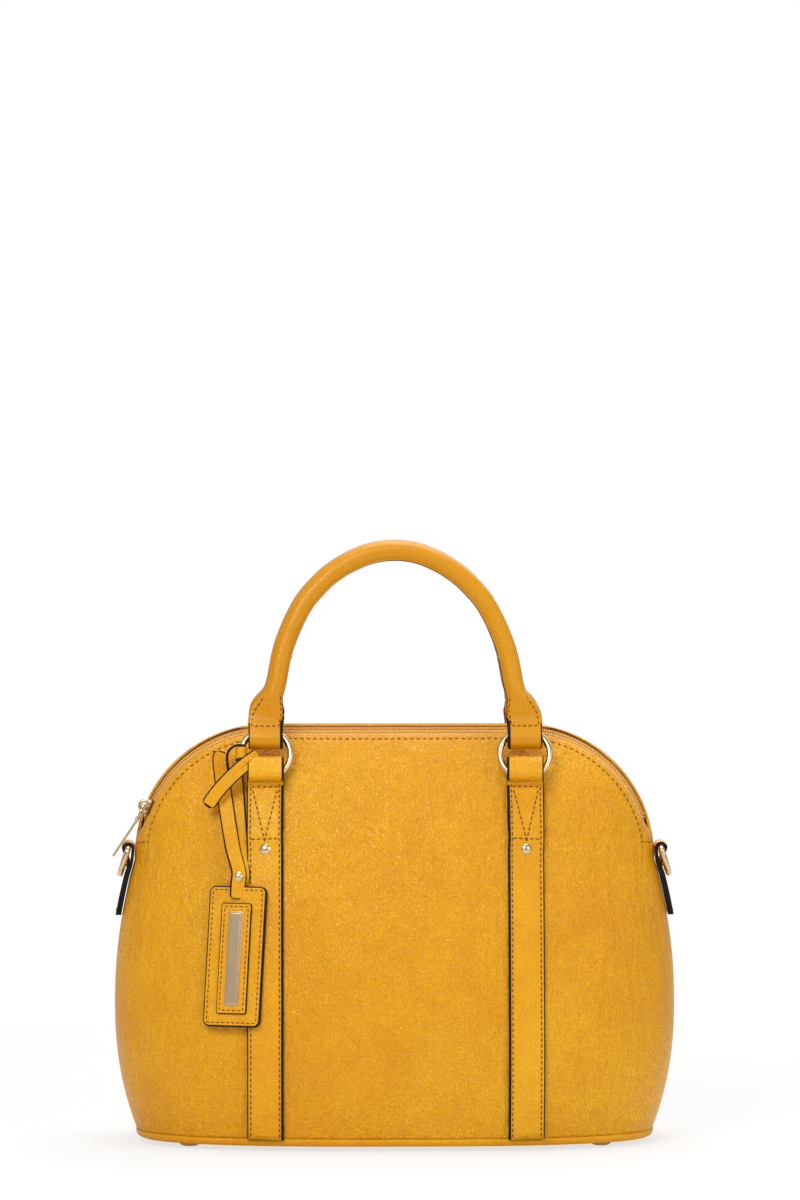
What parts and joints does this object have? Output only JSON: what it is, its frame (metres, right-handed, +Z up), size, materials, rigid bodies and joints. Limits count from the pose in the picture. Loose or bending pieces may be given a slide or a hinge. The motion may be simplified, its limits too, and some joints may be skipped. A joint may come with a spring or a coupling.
{
  "type": "top handle bag",
  "caption": "Domed top handle bag with a curved zip, rolled handles on rings, sewn vertical straps, side D-rings and a hanging tag.",
  "frame": {"origin": "on the surface that the feet stand on, under the middle of the bag", "axes": "+Z up, +X to the right seen from the front, front facing -Y"},
  "size_m": [0.341, 0.1572, 0.3637],
  "materials": {
    "panel_leather": "pebbled mustard faux leather, soft sheen",
    "base_leather": "pebbled mustard faux leather",
    "strap_leather": "smooth pebbled mustard faux leather, black painted edges, brown stitching",
    "handle_leather": "rolled mustard faux leather, black painted seam",
    "tag_leather": "mustard faux leather, black painted edges",
    "gold_metal": "pale champagne gold plating, polished",
    "board": "grey-brown board",
    "lining_cloth": "plain woven lining cloth",
    "cord_core": "twisted cotton core",
    "zip_tape": "woven zip tape",
    "zip_coil": "nylon coil teeth"
  },
  "bodies": {
    "body": {"front_panel": "panel_leather", "back_panel": "panel_leather", "base_panel": "base_leather", "feet": "gold_metal", "base_board": "board", "lining": "lining_cloth", "strap_front_left": "strap_leather", "strap_front_right": "strap_leather", "strap_rear_left": "strap_leather", "strap_rear_right": "strap_leather", "strap_rivets": "gold_metal", "zip_tape_front": "zip_tape", "zip_tape_rear": "zip_tape", "zip_coil_front": "zip_coil", "zip_coil_rear": "zip_coil", "zip_end_left": "strap_leather", "zip_end_right": "strap_leather", "side_tab_left": "strap_leather", "side_tab_right": "strap_leather"},
    "front_rings": {"ring_front_left": "gold_metal", "ring_front_right": "gold_metal", "tag_knot": "tag_leather"},
    "rear_rings": {"ring_rear_left": "gold_metal", "ring_rear_right": "gold_metal"},
    "front_handle": {"handle_front": "handle_leather", "handle_core_front": "cord_core"},
    "rear_handle": {"handle_rear": "handle_leather", "handle_core_rear": "cord_core"},
    "slider": {"zip_slider": "gold_metal"},
    "pull_link": {"zip_pull_link": "gold_metal"},
    "pull": {"zip_pull": "gold_metal"},
    "left_d_ring": {"d_ring_left": "gold_metal"},
    "right_d_ring": {"d_ring_right": "gold_metal"},
    "tag_hanger": {"tag_strap": "tag_leather", "tag_rivet": "gold_metal"},
    "tag": {"tag_body": "tag_leather", "tag_patch": "tag_leather", "tag_plate": "gold_metal"}
  },
  "joints": [
    {"name": "front_rings_swing", "type": "hinge", "parent": "body", "child": "front_rings", "pos_m": [0, -0.03996, 0.2249], "axis": [1, 0, 0], "range_deg": [0, 45]},
    {"name": "front_handle_swing", "type": "hinge", "parent": "front_rings", "child": "front_handle", "pos_m": [0, -0.02971, 0.24792], "axis": [1, 0, 0], "range_deg": [0, 120]},
    {"name": "rear_rings_swing", "type": "hinge", "parent": "body", "child": "rear_rings", "pos_m": [0, 0.04195, 0.2249], "axis": [-1, 0, 0], "range_deg": [0, 45]},
    {"name": "rear_handle_swing", "type": "hinge", "parent": "rear_rings", "child": "rear_handle", "pos_m": [0, 0.0317, 0.24792], "axis": [-1, 0, 0], "range_deg": [0, 120]},
    {"name": "zip_travel", "type": "hinge", "parent": "body", "child": "slider", "pos_m": [-0.0768, 0, 0.1708], "axis": [0, 1, 0], "range_deg": [0, 63]},
    {"name": "link_swing", "type": "hinge", "parent": "slider", "child": "pull_link", "pos_m": [-0.15238, -0.0009, 0.20288], "axis": [0, 1, 0], "range_deg": [0, 40]},
    {"name": "pull_swing", "type": "hinge", "parent": "pull_link", "child": "pull", "pos_m": [-0.15568, -0.0009, 0.19472], "axis": [0, 1, 0], "range_deg": [0, 60]},
    {"name": "left_d_swing", "type": "hinge", "parent": "body", "child": "left_d_ring", "pos_m": [-0.16137, 0, 0.1775], "axis": [0, 1, 0], "range_deg": [0, 100]},
    {"name": "right_d_swing", "type": "hinge", "parent": "body", "child": "right_d_ring", "pos_m": [0.16137, 0, 0.1775], "axis": [0, -1, 0], "range_deg": [0, 100]},
    {"name": "tag_strap_hang", "type": "hinge", "parent": "front_rings", "child": "tag_hanger", "pos_m": [-0.101, -0.03484, 0.23641], "axis": [-1, 0, 0], "range_deg": [0, 45]},
    {"name": "tag_swing", "type": "hinge", "parent": "tag_hanger", "child": "tag", "pos_m": [-0.0941, -0.05782, 0.1564], "axis": [-0.9625, 0.2713, 0], "range_deg": [0, 70]}
  ],
  "couplings": [
    {"joint": "tag_strap_hang", "follows": "front_rings_swing", "ratio": 1}
  ]
}
